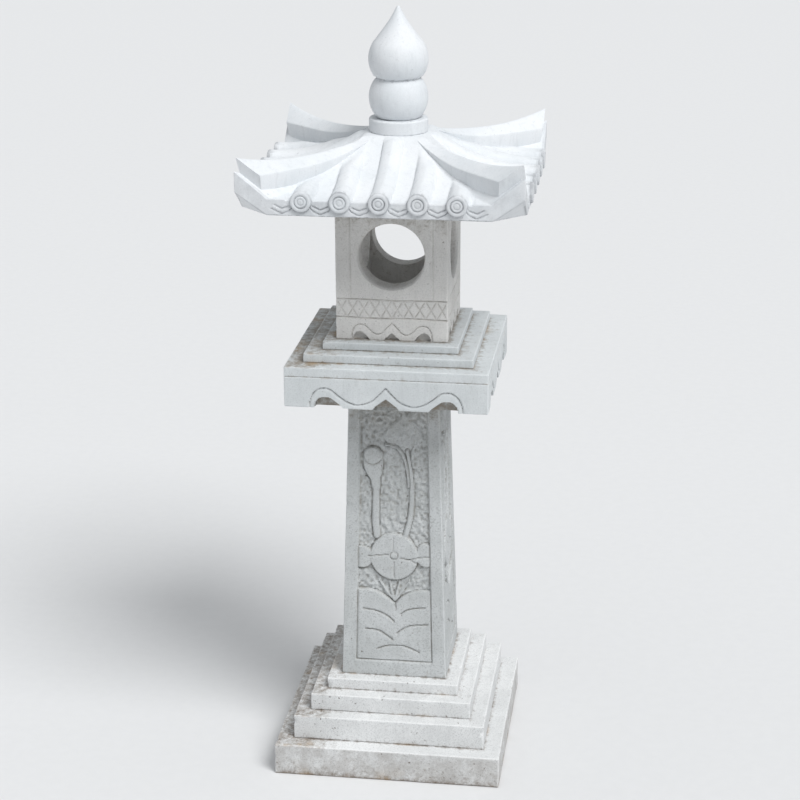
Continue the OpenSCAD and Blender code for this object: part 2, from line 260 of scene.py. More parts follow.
class Block:
    """A square block as a closed stack of square rings, with flat ends.

    halves holds the half widths at the foot and the head. across and up are the places of the
    grid's lines over the width at the foot and over the height. rims are those on the flat ends,
    as distances in from the arris.
    """

    def __init__(self, z0, z1, halves, across, up, rims=RIM_PLACES):
        foot, head = halves
        self.z0, self.z1, self.halves = z0, z1, halves
        s = across[:-1] / foot - 1
        rims = np.array([r for r in rims if r < min(halves) - 6])
        stack = [(foot - r, z0, r) for r in rims[::-1]]
        stack += [(foot + (head - foot) * u / (z1 - z0), z0 + u, 0) for u in up]
        stack += [(head - r, z1, r) for r in rims]
        points, along, side, rim = [], [], [], []
        for half, z, inset in stack:
            for k in range(SIDES):
                x, y = s * half, np.full(len(s), -half)
                for _ in range(k):
                    x, y = -y, x
                points.append(np.stack([x, y, np.full(len(s), z)], 1))
                along.append(s * half)
                side.append(np.full(len(s), k))
                rim.append(np.full(len(s), inset))
        self.points = np.vstack(points + [[[0, 0, z0], [0, 0, z1]]])
        ends = np.array([0, 0])
        self.along = np.concatenate(along + [ends])
        self.side = np.concatenate(side + [ends]).astype(int)
        self.rim = np.concatenate(rim + [ends + 1e3])
        self.ring = SIDES * len(s)
        total = len(stack) * self.ring
        self.faces = ring_faces(len(stack), self.ring, total, total + 1)
        self.flat = self.points.copy()
        self.inward = np.array([(0, 1, 0), (-1, 0, 0), (0, -1, 0), (1, 0, 0)], float)[self.side]

    def half_at(self, z):
        """Half the width at a height."""
        foot, head = self.halves
        return foot + (head - foot) * (z - self.z0) / (self.z1 - self.z0)

    def wear(self, radius, seed):
        """Rounds every arris, by a radius that changes along it."""
        p = self.flat
        r = radius * (0.45 + 0.7 * noise(p, 38, seed) + 0.5 * noise(p, 9, seed + 1))
        half = self.half_at(p[:, 2]) - r
        core = np.stack([np.clip(p[:, 0], -half, half), np.clip(p[:, 1], -half, half),
                         np.clip(p[:, 2], self.z0 + r, self.z1 - r)], 1)
        out = p - core
        size = np.linalg.norm(out, axis=1)
        edge = size > 1e-9
        rounded = core[edge] + out[edge] / size[edge, None] * r[edge, None]
        self.points[edge] += rounded - p[edge]
        return self

    def chip(self, count, seed, largest=9):
        """Knocks small flakes off the top arrises and the upright corners."""
        draw = np.random.default_rng(seed)
        for _ in range(count):
            side = draw.integers(SIDES)
            place = draw.uniform(-1, 1)
            size = draw.uniform(0.35, 1) ** 2 * largest
            upright = draw.random() < 0.35
            z = draw.uniform(self.z0 + 3, self.z1) if upright else self.z1
            half = self.half_at(z)
            spot = np.array([half if upright else place * half, -half, z])
            into = np.array([-1, 1, 0]) if upright else np.array([0, 1, -1])
            for _ in range(side):
                spot = np.array([-spot[1], spot[0], spot[2]])
                into = np.array([-into[1], into[0], into[2]])
            rough = 0.8 + 0.5 * noise(self.flat, 4, seed + 7)
            distance = np.linalg.norm(self.flat - spot, axis=1) * rough
            bite = np.clip(1 - (distance / size) ** 2, 0, 1) * size * 0.32
            self.points += bite[:, None] * into / math.sqrt(2)
        return self

    def carve(self, depth):
        """Sinks the faces by depth(across, height, side), and takes the flat ends in to match."""
        cut = np.clip(depth(self.along, self.flat[:, 2], self.side) - self.rim, 0, None)
        self.points += self.inward * cut[:, None]
        grid = cut[:-2].reshape(-1, self.ring)
        near = range(-2, 3)
        around = [np.roll(grid, (i, j), (0, 1)) for i in near for j in near]
        self.hollow = np.append((grid - np.mean(around, axis=0)).ravel(), [0, 0])
        return self

    def hollows(self, full):
        """A rule that marks where the carving is lower than what is round it, full at this depth."""
        tree = KDTree(len(self.points))
        for i, place in enumerate(self.points):
            tree.insert(place, i)
        tree.balance()

        def rule(p):
            found = (tree.find(place) for place in p)
            return np.array([self.hollow[i] / full if gap < 1 else 0 for _, i, gap in found])
        return rule

    def undulate(self, amount, cell, seed):
        """Leaves the dressed faces a little uneven."""
        swell = (noise(self.flat, cell, seed) - 0.5) * 2 * amount
        self.points += self.inward * swell[:, None] * (self.rim == 0)[:, None]
        return self

    def make(self, name):
        """The block as a mesh object."""
        return mesh_object(name, self.points, self.faces)


# ---- materials
class Nodes:
    """Short calls for building one material's node tree."""

    def __init__(self, name):
        self.material = bpy.data.materials.new(name)
        self.material.use_nodes = True
        self.tree = self.material.node_tree
        self.shader = self.tree.nodes["Principled BSDF"]
        self.where = self.add("ShaderNodeTexCoord").outputs["Object"]

    def add(self, kind, **settings):
        """A new node with these properties."""
        node = self.tree.nodes.new(kind)
        for key, value in settings.items():
            setattr(node, key, value)
        return node

    def link(self, output, node, socket):
        self.tree.links.new(output, node.inputs[socket])

    def noise(self, scale, detail, rough=0.55, stretch=None):
        """Noise in the object's own space; stretch scales its axes."""
        node = self.add("ShaderNodeTexNoise")
        node.inputs["Scale"].default_value = scale
        node.inputs["Detail"].default_value = detail
        node.inputs["Roughness"].default_value = rough
        if stretch:
            mapping = self.add("ShaderNodeMapping")
            mapping.inputs["Scale"].default_value = stretch
            self.link(self.where, mapping, "Vector")
            self.link(mapping.outputs[0], node, "Vector")
        else:
            self.link(self.where, node, "Vector")
        return node.outputs["Fac"]

    def span(self, value, low, high, to_low=0.0, to_high=1.0):
        """Smooth step of a value from one range to another."""
        node = self.add("ShaderNodeMapRange", interpolation_type="SMOOTHSTEP")
        node.inputs["From Min"].default_value = low
        node.inputs["From Max"].default_value = high
        node.inputs["To Min"].default_value = to_low
        node.inputs["To Max"].default_value = to_high
        self.link(value, node, "Value")
        return node.outputs["Result"]

    def times(self, a, b, operation="MULTIPLY"):
        """A value times another value or a number."""
        node = self.add("ShaderNodeMath", operation=operation)
        self.link(a, node, 0)
        if isinstance(b, float):
            node.inputs[1].default_value = b
        else:
            self.link(b, node, 1)
        return node.outputs[0]

    def plus(self, a, b):
        """The sum of two values."""
        return self.times(a, b, "ADD")

    def mix(self, factor, a, b):
        """From colour a at 0 to colour b at 1."""
        node = self.add("ShaderNodeMix", data_type="RGBA")
        self.link(factor, node, "Factor")
        for socket, value in ((6, a), (7, b)):
            if isinstance(value, tuple):
                node.inputs[socket].default_value = (*value, 1)
            else:
                self.link(value, node, socket)
        return node.outputs[2]

    def mark(self, name):
        """A number that stone_piece() stored on the mesh."""
        return self.add("ShaderNodeAttribute", attribute_name=name).outputs["Fac"]


FLECK = (0.20, 0.20, 0.21)
PIT = (0.10, 0.085, 0.07)
RUST = (0.36, 0.24, 0.12)
TARNISH = (0.30, 0.22, 0.15)


def shade(colour, share):
    """A colour made darker or lighter, and never brighter than fresh white stone."""
    return tuple(min(0.95, c * share) for c in colour)


# Each stone's dark colour paints both its soiling and its painted shade.
def granite(name, pale, grey, dirt_and_shade, grain, speck, pits, stain, rough=0.72):
    """Fine white granite: mottled grain, dark flecks, pits, dark joints, brown stains, and painted shade in
    hollows, under overhangs and on dim faces.
    """
    n = Nodes(name)
    colour = n.mix(n.span(n.noise(9, 4), 0.35, 0.65), pale, grey)
    crystals = n.times(n.span(n.noise(310, 3, 0.75), 0.50, 0.34), grain)
    colour = n.mix(crystals, colour, shade(grey, 0.70))
    flecks = n.times(n.span(n.noise(700, 1, 0.5), 0.62, 0.70), speck)
    colour = n.mix(flecks, colour, FLECK)
    streaks = n.times(n.span(n.noise(1, 4, 0.6, stretch=(90, 90, 16)), 0.50, 0.72), 0.22)
    colour = n.mix(streaks, colour, shade(grey, 0.74))
    spots = n.plus(n.noise(170, 2, 0.5), n.span(n.noise(11, 2), 0.40, 0.66, 0.0, 0.06))
    colour = n.mix(n.times(n.span(spots, 0.745, 0.785), pits), colour, PIT)
    # Dirty blotches from noise, deepened by the stored mark for soiling and shade. That mark also paints
    # shade under overhangs and in recesses.
    worn = n.plus(n.noise(85, 6, 0.78), n.times(n.mark("grime_and_shade"), 0.40))
    colour = n.mix(n.times(n.span(worn, 0.58, 0.92), 0.85), colour, dirt_and_shade)
    rust = n.times(n.span(n.noise(15, 5, 0.62), 0.52, 0.70), n.span(n.mark("grime_and_shade"), 0.10, 0.75))
    colour = n.mix(n.times(rust, stain), colour, RUST)
    # Painted shade: a stored mark darkens carved grooves and hollows, places under overhangs and faces that
    # get less light. They go toward a deeper tone of the stone's dark colour, broken up by noise.
    shade_amount = n.times(n.mark("painted_shade"), n.span(n.noise(28, 5, 0.7), 0.34, 0.64, 0.15, 0.66))
    colour = n.mix(shade_amount, colour, shade(dirt_and_shade, 0.85))
    colour = n.mix(n.times(n.mark("arris"), 0.45), colour, shade(pale, 1.12))
    n.link(colour, n.shader, "Base Color")
    n.link(n.span(n.noise(90, 4), 0.3, 0.7, rough - 0.12, rough + 0.14), n.shader, "Roughness")
    n.shader.inputs["Specular IOR Level"].default_value = 0.35
    coarse = None
    for scale, distance in ((75, 0.0009), (330, 0.0004)):
        bump = n.add("ShaderNodeBump")
        bump.inputs["Distance"].default_value = distance
        bump.inputs["Strength"].default_value = 0.5
        n.link(n.noise(scale, 4, 0.65), bump, "Height")
        if coarse:
            n.link(coarse.outputs[0], bump, "Normal")
        coarse = bump
    n.link(coarse.outputs[0], n.shader, "Normal")
    return n.material


def steel(name):
    """Brushed stainless bar, drawn along its length, with faint tarnish."""
    n = Nodes(name)
    drawn = n.noise(60, 3, stretch=(40, 40, 1))
    colour = n.mix(n.span(drawn, 0.35, 0.65), (0.46, 0.47, 0.48), (0.60, 0.61, 0.62))
    colour = n.mix(n.times(n.span(n.noise(55, 4), 0.55, 0.75), 0.4), colour, TARNISH)
    n.link(colour, n.shader, "Base Color")
    n.shader.inputs["Metallic"].default_value = 1.0
    n.link(n.span(drawn, 0.3, 0.7, 0.28, 0.46), n.shader, "Roughness")
    bump = n.add("ShaderNodeBump")
    bump.inputs["Distance"].default_value = 0.0002
    n.link(drawn, bump, "Height")
    n.link(bump.outputs[0], n.shader, "Normal")
    return n.material


MATERIALS = {
    "base_stone": granite(
        "base_stone", pale=(0.77, 0.78, 0.78), grey=(0.68, 0.69, 0.69), dirt_and_shade=(0.185, 0.145, 0.11),
        grain=0.5, speck=0.55, pits=0.8, stain=0.7),
    "post_stone": granite(
        "post_stone", pale=(0.58, 0.60, 0.605), grey=(0.50, 0.52, 0.52), dirt_and_shade=(0.22, 0.19, 0.145),
        grain=0.75, speck=0.5, pits=0.8, stain=0.6),
    "platform_stone": granite(
        "platform_stone", pale=(0.66, 0.69, 0.70), grey=(0.59, 0.62, 0.63), dirt_and_shade=(0.24, 0.20, 0.155),
        grain=0.3, speck=0.25, pits=0.4, stain=0.6),
    "box_stone": granite(
        "box_stone", pale=(0.74, 0.73, 0.71), grey=(0.65, 0.64, 0.62), dirt_and_shade=(0.21, 0.175, 0.125),
        grain=0.4, speck=0.25, pits=0.5, stain=0.6),
    # The roof's dark colour is a cool grey. It mostly paints shade on the fascia and in its cuts.
    "roof_stone": granite(
        "roof_stone", pale=(0.77, 0.79, 0.81), grey=(0.71, 0.74, 0.765), dirt_and_shade=(0.26, 0.27, 0.29),
        grain=0.12, speck=0.06, pits=0.15, rough=0.6, stain=0.1),
    "dowel_steel": steel("dowel_steel"),
}


def stone_piece(obj, node, body, slot, grime_and_shade, painted_shade=None, arris=None, sharp=32):
    """Finishes a stone: shading, the marks that its material reads, and its place in the frame."""
    points = mesh_points(obj)
    # Stored marks: soiling together with painted shade, painted shade in hollows and on dim faces, and the
    # paler worn arrises.
    for name, rule in (("grime_and_shade", grime_and_shade), ("painted_shade", painted_shade), ("arris", arris)):
        values = np.zeros(len(points)) if rule is None else np.clip(rule(points), 0, 1)
        mark = obj.data.attributes.new(name, "FLOAT", "POINT")
        mark.data.foreach_set("value", values.astype(np.float32))
    obj.data.shade_smooth()
    obj.data.set_sharp_from_angle(angle=math.radians(sharp))
    obj.data.materials.clear()
    obj.data.materials.append(MATERIALS[slot])
    obj.name = obj.data.name = node + "_stone"
    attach(obj, body)
    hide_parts(node)


def arris_of(block_halves, z0, z1):
    """A rule that marks the worn arrises of a square block."""
    foot, head = block_halves

    def rule(p):
        half = foot + (head - foot) * (p[:, 2] - z0) / (z1 - z0)
        faces = np.stack([half - np.abs(p[:, 0]), half - np.abs(p[:, 1]), z1 - p[:, 2]], 1)
        second = np.sort(faces, axis=1)[:, 1]
        return 1 - np.clip(second / ARRIS_WIDTH, 0, 1)
    return rule


# ---- base
def base_stones():
    """Four square slabs, each a tread for the next, with dark stained joints between them and painted shade
    on the lowest slab's sides.
    """
    step = 3.4
    tiers = [
        ("base_slab", SLAB_Z0, SLAB_Z1, SLAB_HALF, LOWER_HALF, 2.6, 26),
        ("base_step_lower", LOWER_Z0, LOWER_Z1, LOWER_HALF, MIDDLE_HALF, 2.2, 20),
        ("base_step_middle", MIDDLE_Z0, MIDDLE_Z1, MIDDLE_HALF, UPPER_HALF, 2.0, 14),
        ("base_step_upper", UPPER_Z0, UPPER_Z1, UPPER_HALF, POST_FOOT_HALF, 1.8, 12),
    ]
    for i, (node, z0, z1, half, next_half, radius, chips) in enumerate(tiers):
        block = Block(z0, z1, (half, half), spread(2 * half, step), spread(z1 - z0, step))
        block.wear(radius, 20 + i).chip(chips, 40 + i).undulate(0.35, 30, 60 + i)
        obj = block.make(node)
        if node in ("base_step_middle", "base_step_upper"):
            socket = cylinder("socket", TENON_R + SLACK, POST_TENON_Z0 - SLACK, UPPER_Z1 + PAST)
            joined(obj, [socket], "DIFFERENCE")

        def grime_and_shade(p, z0=z0, z1=z1, next_half=next_half):
            reach = np.maximum(np.abs(p[:, 0]), np.abs(p[:, 1]))
            tread = (p[:, 2] > z1 - 2) * (0.62 * np.exp(-np.clip(reach - next_half, 0, None) / 3) + 0.03)
            foot = 0.6 * np.exp(-(p[:, 2] - z0) / 2.2) + 0.22 * np.exp(-(p[:, 2] - z0) / 14)
            left = ramp(-p[:, 0], 70, 170) * 0.58 * (p[:, 2] > z1 - 2)
            # Painted shade on the lowest slab's sides, darkest near the floor.
            slab_shade = (0.12 + 0.3 * np.exp(-p[:, 2] / 20)) * (z0 == 0) * (p[:, 2] < z1 - 2)
            return tread + foot + left + slab_shade

        def painted_shade(p, z0=z0, z1=z1):
            """Painted shade: the lowest slab's sides are darkened all over."""
            return 0.55 * (z0 == 0) * (p[:, 2] < z1 - 1)
        stone_piece(obj, node, "base", "base_stone", grime_and_shade, painted_shade, arris_of((half, half), z0, z1))


# ---- post
def water_lily():
    """Raised shapes of the carved panel: (distance inside, height, width of the rounded edge)."""
    z = UPPER_Z1
    left_leaf = [(-90, z - 5), (-90, z + 186), (-72, z + 186), (-50, z + 186), (-34, z + 182),
                 (-18, z + 173), (2, z + 158), (6, z + 140), (6, z - 5)]
    right_leaf = [(2, z - 5), (2, z + 158), (14, z + 171), (27, z + 180), (44, z + 186), (62, z + 188),
                  (90, z + 188), (90, z - 5)]
    bud = [(-60, z + 478), (-61, z + 448), (-55, z + 430), (-47, z + 416), (-43, z + 398), (-28, z + 398),
           (-27, z + 420), (-23, z + 432), (-22, z + 460), (-26, z + 478)]
    bloom = [(24, z + 470), (4, z + 489), (-12, z + 492), (-20, z + 508), (-8, z + 530), (10, z + 545),
             (22, z + 556), (34, z + 546), (48, z + 530), (58, z + 508), (50, z + 492), (36, z + 484)]
    left_stem = smooth_line([(-34, z + 300), (-37, z + 330), (-36, z + 370), (-36, z + 405)])
    right_stem = smooth_line([(22, z + 300), (31, z + 335), (35, z + 375), (34, z + 420), (31, z + 450),
                              (26, z + 480)])
    leaf_edge = smooth_line([(-16, z + 491), (2, z + 487), (14, z + 476), (22, z + 458), (27, z + 434),
                             (29, z + 405)])
    other_edge = smooth_line([(44, z + 505), (36, z + 470), (38, z + 445)])

    def closed(points):
        return smooth_line(points + points[:1], 6)[:-1]

    def shapes(x, h):
        yield 48.5 - np.hypot(x, (h - z - 257) * 0.97), 6.2, 3.2
        yield 24 - np.hypot(x + 64, h - z - 254), 5.2, 3
        yield 26 - np.hypot((x - 62) * 1.3, h - z - 262), 5.2, 3
        yield inside_distance(x, h, np.array(left_leaf, float)), 5.8, 3
        yield inside_distance(x, h, np.array(right_leaf, float)), 5.4, 3
        yield inside_distance(x, h, closed(bud)), 5.4, 3
        yield 18.5 - np.hypot(x + 42, h - z - 468), 6.4, 3
        yield inside_distance(x, h, closed(bloom)), 2.2, 5
        yield -line_distance(x, h, left_stem, (7.5, 7.5, 7)), 5.0, 4
        yield -line_distance(x, h, right_stem, (6, 5.5, 4.5, 4)), 4.8, 3.4
        yield -line_distance(x, h, leaf_edge, (3.2, 3.6, 3.4, 3.0)), 4.6, 3
        yield -line_distance(x, h, other_edge, (2.8, 3.0, 2.4)), 3.9, 2.6
        for foot, top in ((-30, 205), (-10, 212), (12, 210), (30, 206)):
            stalk = smooth_line([(2, z + 162), (foot * 0.45, z + 180), (foot, z + top)])
            yield -line_distance(x, h, stalk, (2.2, 2.8, 1.6)), 3.2, 2
    return shapes


def lily_lines():
    """Engraved lines of the carved panel: (curve, width, depth)."""
    z = UPPER_Z1
    return [
        ([(-62, z + 143), (-42, z + 141), (-26, z + 136), (-11, z + 128), (0, z + 118)], 4.0, 3.4),
        ([(13, z + 134), (25, z + 143), (41, z + 148), (62, z + 150)], 4.0, 3.4),
        ([(-58, z + 100), (-44, z + 99), (-29, z + 96), (-15, z + 87), (-3, z + 78)], 4.0, 3.4),
        ([(5, z + 92), (16, z + 101), (30, z + 109), (46, z + 112), (68, z + 114)], 4.0, 3.4),
        ([(-34, z + 57), (-15, z + 64), (5, z + 66), (25, z + 64), (50, z + 53)], 4.0, 3.4),
        ([(-52, z + 257), (-34, z + 259), (-12, z + 262)], 3.4, 2.6),
        ([(12, z + 256), (30, z + 253), (48, z + 257), (76, z + 261)], 3.4, 2.6),
        ([(30, z + 253), (46, z + 245), (60, z + 237)], 3.4, 2.4),
        ([(0, z + 246), (-1, z + 230), (1, z + 212)], 3.2, 1.9),
        ([(-1, z + 271), (-2, z + 288), (-1, z + 302)], 3.0, 1.4),
    ]


def panel_depth(shapes, lines):
    """Depth rule for the post: a sunk, pecked panel with the lily left standing in it."""
    ground, sill, lintel, bevel, deepest = 7.0, 31, 24, 2.6, 9.5
    boss_r, boss_z, boss_height = 6.5, UPPER_Z1 + 260, 6.2
    side_gap = 300.0  # keeps the four faces' pecking apart in the noise

    def depth(x, h, side):
        rise = (h - UPPER_Z1) / (APRON_Z0 - UPPER_Z1)
        half = POST_FOOT_HALF + (POST_HEAD_HALF - POST_FOOT_HALF) * rise
        border = 27 - 4 * rise
        edge = np.minimum(np.minimum(half - border - np.abs(x), h - UPPER_Z1 - sill), APRON_Z0 - lintel - h)
        sunk = np.clip(edge / bevel, 0, 1)
        height = np.zeros(len(x))
        near = edge > 0
        outline = np.zeros(np.count_nonzero(near))
        for distance, relief, rounded in shapes(x[near], h[near]):
            under = height[near] > relief
            height[near] = np.maximum(height[near], relief * roll(distance, rounded))
            if relief > 4:
                kept = np.where(distance > rounded, 0, outline)
                outline = np.maximum(kept, groove(distance, 3.4, 2.2) * ~under)
        boss = np.hypot(x, h - boss_z)
        height = np.maximum(height, np.where(boss < boss_r, boss_height + 2.2 * roll(boss_r - boss, 5), 0))
        ring = groove(boss - boss_r - 1.2, 3.2, 1.8)
        face = np.stack([x, h, side * side_gap], 1)
        pecks = (noise(face, 6.0, 5) - 0.5) * 5.0 + (noise(face, 3.6, 6) - 0.5) * 3.0
        cut = ground - height + pecks * np.clip(1 - height / 3.4, 0, 1)
        cut[near] += outline
        for line, width, deep in lines:
            cut[near] += groove(np.abs(line_distance(x[near], h[near], smooth_line(line, 5))), width, deep)
        frame_line = groove(edge - 1.4, 4.2, 4.0)
        return np.maximum(np.clip(cut + ring, 0, deepest) * sunk, frame_line)
    return depth


def post_stone():
    """The tapered post, carved on all four faces, with its stub tenons."""
    side, sill, head, step = 24, 26, 20, 5
    tall = round(APRON_Z0 - UPPER_Z1)
    middle = round(2 * POST_FOOT_HALF) - 2 * side
    border = spread(side, step)
    across = np.unique(np.concatenate([border, side + np.linspace(0, middle, 83),
                                       2 * POST_FOOT_HALF - border]))
    up = np.unique(np.concatenate([spread(sill, step), np.linspace(sill, tall - head, 250),
                                   tall - head + spread(head, step)]))
    block = Block(UPPER_Z1, APRON_Z0, (POST_FOOT_HALF, POST_HEAD_HALF), across, up,
                  rims=(*EDGE_PLACES[:4], 6, 14, 40))
    block.wear(2.0, 80).chip(16, 81, 6).undulate(0.3, 26, 82)
    block.carve(panel_depth(water_lily(), lily_lines()))
    lines = block.hollows(2.4)

    def painted_shade(p):
        # Painted shade in the carving's hollows and lines, and under the apron at the post's head.
        return lines(p) + 0.7 * np.exp(-np.clip(APRON_Z0 - p[:, 2], 0, None) / 34)
    obj = block.make("post")
    tenons = [cylinder("tenon_low", TENON_R, POST_TENON_Z0, UPPER_Z1 + 8),
              cylinder("tenon_high", TENON_R, APRON_Z0 - 8, POST_TENON_Z1)]

    def grime_and_shade(p):
        # Painted shade under the apron's overhang darkens the post's head. The post's foot is darker where
        # it meets the base.
        top = np.exp(-np.clip(APRON_Z0 - p[:, 2], 0, None) / 38) * 0.95
        foot = 0.5 * np.exp(-np.clip(p[:, 2] - UPPER_Z1, 0, None) / 5)
        return top + foot + 0.06
    joined(obj, tenons, "UNION")
    stone_piece(obj, "post", "post", "post_stone", grime_and_shade, painted_shade,
                arris_of((POST_FOOT_HALF, POST_HEAD_HALF), UPPER_Z1, APRON_Z0), sharp=48)


# ---- platform
def scallops(x, cusp, cusp_h, arch_in, arch_out, arch_h):
    """Height of a scalloped lower edge: a pointed cusp and an arch each side of two low lobes."""
    a = np.abs(x)
    point = np.clip(1 - a / cusp, 0, None) ** 0.9 * cusp_h
    crest_share, skew = 0.62, 1.15
    crest = arch_in + (arch_out - arch_in) * crest_share
    inner = np.clip((a - arch_in) / (crest - arch_in), 0, 1)
    outer = np.clip((arch_out - a) / (arch_out - crest), 0, 1)
    arch = np.where(a < crest, arch_h * inner ** skew * (1 + skew - skew * inner),
                    arch_h * np.sqrt(outer * (2 - outer)))
    return np.maximum(point, arch * ((a > arch_in) & (a < arch_out)))


def apron_depth(x, h, side):
    """Scallops cut through to the deep plane, and a bead that follows them."""
    up = h - APRON_Z0
    edge = scallops(x, cusp=25, cusp_h=21.5, arch_in=82, arch_out=137, arch_h=21.5)
    line = smooth_line([(0, 44), (13, 30), (29, 16), (52, 9), (72, 13.5), (90, 25), (103, 36),
                        (116, 40), (129, 37), (140, 26), (146, 10), (147, -6)])
    right, left = line_distance(x, up, line), line_distance(-x, up, line)
    below = up < np.interp(np.abs(x), line[:-1, 0], line[:-1, 1], right=-9)
    away = np.minimum(right, left)
    bead = np.where(below, 2.6 - 1.5 * np.clip(away / 5, 0, 1), 0)
    cut = bead + groove(away, 2.6, 1.8)
    return np.where(up < edge - 0.3, 18.0, cut)


def platform_stones():
    """The scalloped apron stone, the cap on it and the two thin steps."""
    apron = Block(APRON_Z0, APRON_Z1, (APRON_HALF, APRON_HALF), spread(2 * APRON_HALF, 2.0),
                  spread(APRON_Z1 - APRON_Z0, 1.5),
                  rims=(*EDGE_PLACES, 9, 12, 15, 17.4, 18.6, 24, 40, 80, 140))
    apron.wear(1.6, 100).chip(10, 101, 6).undulate(0.25, 30, 102).carve(apron_depth)
    stone = apron.make("platform_apron")
    joined(stone, [cylinder("socket", TENON_R + SLACK, APRON_Z0 - PAST, POST_TENON_Z1 + SLACK),
                   cylinder("hole", DOWEL_HOLE_R, PDOWEL_Z0, APRON_Z1 + PAST)], "DIFFERENCE")

    def under(p):
        # Painted shade in the sunk backs of the scallop arches. A thin dark line runs along the joint under
        # the cap.
        sunk = APRON_HALF - np.maximum(np.abs(p[:, 0]), np.abs(p[:, 1]))
        beneath = (p[:, 2] < APRON_Z0 + 22) * ramp(sunk, 6, 16)
        return beneath * 0.85 + 0.85 * np.exp(-(APRON_Z1 - p[:, 2]) / 1.2)

    lines = apron.hollows(3.0)

    def carved(p):
        # Painted shade along the carved bead and groove.
        sunk = APRON_HALF - np.maximum(np.abs(p[:, 0]), np.abs(p[:, 1]))
        return lines(p) * (sunk < 8)
    stone_piece(stone, "platform_apron", "platform", "platform_stone", under, carved,
                arris_of((APRON_HALF, APRON_HALF), APRON_Z0, APRON_Z1))
    tiers = [("platform_cap", CAP_Z0, CAP_Z1, CAP_HALF, PLOW_HALF, 1.8),
             ("platform_step_lower", PLOW_Z0, PLOW_Z1, PLOW_HALF, PUP_HALF, 1.6),
             ("platform_step_upper", PUP_Z0, PUP_Z1, PUP_HALF, BOX_HALF, 1.5)]
    for i, (node, z0, z1, half, next_half, radius) in enumerate(tiers):
        block = Block(z0, z1, (half, half), spread(2 * half, 3), spread(z1 - z0, 2.5))
        block.wear(radius, 110 + i).chip(9, 120 + i, 6).undulate(0.25, 30, 130 + i)
        obj = joined(block.make(node), [cylinder("hole", DOWEL_HOLE_R, z0 - PAST, z1 + PAST)], "DIFFERENCE")

        def grime_and_shade(p, z0=z0, z1=z1, next_half=next_half):
            reach = np.maximum(np.abs(p[:, 0]), np.abs(p[:, 1]))
            tread = (p[:, 2] > z1 - 1.5) * (0.8 * np.exp(-np.clip(reach - next_half, 0, None) / 7) + 0.1)
            left = ramp(-p[:, 0], 60, 170) * 0.5 * (p[:, 2] > z1 - 1.5)
            return tread + left + 0.8 * np.exp(-(p[:, 2] - z0) / 2.0)
        stone_piece(obj, node, "platform", "platform_stone", grime_and_shade, arris=arris_of((half, half), z0, z1))


# ---- light box
WINDOW_R = 62.5
WINDOW_Z = BOX_Z0 + 165
WALL = 40
FLOOR = 60
BAND_Z = (44, 80)
LATTICE_PITCH = 21.4
LATTICE_LEAN = 0.86  # how much closer the leaning lines are than their pitch along the band
HOLLOW_TOP = BOX_Z1 + 20


def box_depth(x, h, side):
    """Incised lines, a band of crossed lattice and a scalloped foot."""
    up = h - BOX_Z0
    cut = np.zeros(len(x))
    for z in BAND_Z:
        wander = 0.5 * np.sin(x / 23 + z)
        cut = np.maximum(cut, groove(np.abs(up - z - wander), 3.6, 2.6))
    upright = groove(np.abs(np.abs(x) - (BOX_HALF - 28)), 2.8, 1.3) * (up > BAND_Z[1])
    band = (up > BAND_Z[0] + 1.5) & (up < BAND_Z[1] - 1.5) & (np.abs(x) < BOX_HALF - 3)
    rise = (up - BAND_Z[0]) / (BAND_Z[1] - BAND_Z[0])
    for lean in (1, -1):
        phase = (x / LATTICE_PITCH - lean * rise) % 1
        away = np.minimum(phase, 1 - phase) * LATTICE_PITCH * LATTICE_LEAN
        cut = np.maximum(cut, groove(away, 3.2, 1.7) * band)
    line = smooth_line([(0, 35), (10, 25), (19, 15), (29, 12), (39, 17), (49, 27), (60, 31),
                        (70, 27), (76, 16), (77.5, 0), (77.6, -6)])
    away = np.minimum(line_distance(x, up, line), line_distance(-x, up, line))
    below = up < np.interp(np.abs(x), line[:-1, 0], line[:-1, 1], right=-9)
    foot = np.where(below, 1.4 - 0.7 * np.clip(away / 4, 0, 1), 0) + groove(away, 2.6, 1.5)
    edge = scallops(x, cusp=15, cusp_h=14, arch_in=43, arch_out=74, arch_h=16.5)
    cut = np.maximum(cut, np.maximum(upright, foot * (up < BAND_Z[0] - 4)))
    return np.where(up < edge - 0.3, 10.0, cut)


def window_cutter(name, turned):
    """A round hole through both walls, a little flared where each arris is worn."""
    reach = BOX_HALF
    bevel = ((12, -9), (4.0, -0.6), (2.8, 1.2), (1.0, 3.4), (0, 6.5))
    profile = [(1, -reach - 9)] + [(WINDOW_R + d, -reach + y) for d, y in bevel]
    profile += [(WINDOW_R + d, reach - y) for d, y in bevel[::-1]] + [(1, reach + 9)]
    obj = lathe(name, profile, (0, WINDOW_Z), axis="y", segments=128)
    if turned:
        obj.data.transform(Matrix.Rotation(math.radians(90), 4, "Z"))
    return obj


